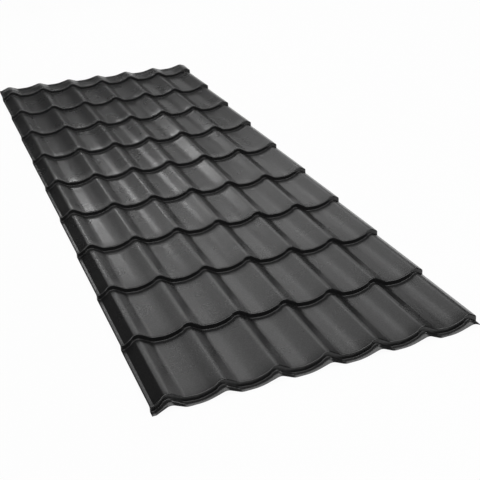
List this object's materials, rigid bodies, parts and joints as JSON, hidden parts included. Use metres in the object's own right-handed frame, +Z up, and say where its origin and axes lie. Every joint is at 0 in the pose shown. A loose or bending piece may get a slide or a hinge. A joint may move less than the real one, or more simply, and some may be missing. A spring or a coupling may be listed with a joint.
{
  "type": "metal roof tile sheet",
  "caption": "Long pressed steel roof sheet: rounded waves across it and tile-like steps along it, with a flat underlap flange on one edge and a cut flank on the other.",
  "frame": {"origin": "on the resting plane, below the middle of the sheet", "axes": "+Y up the roof slope along the length, +X across the waves from the underlap flange to the cut overlap edge, +Z up"},
  "size_m": [1.1948, 3.304, 0.0433],
  "materials": {
    "coated_steel": "matt"
  },
  "bodies": {
    "root": {"tile_sheet": "coated_steel"}
  },
  "joints": []
}
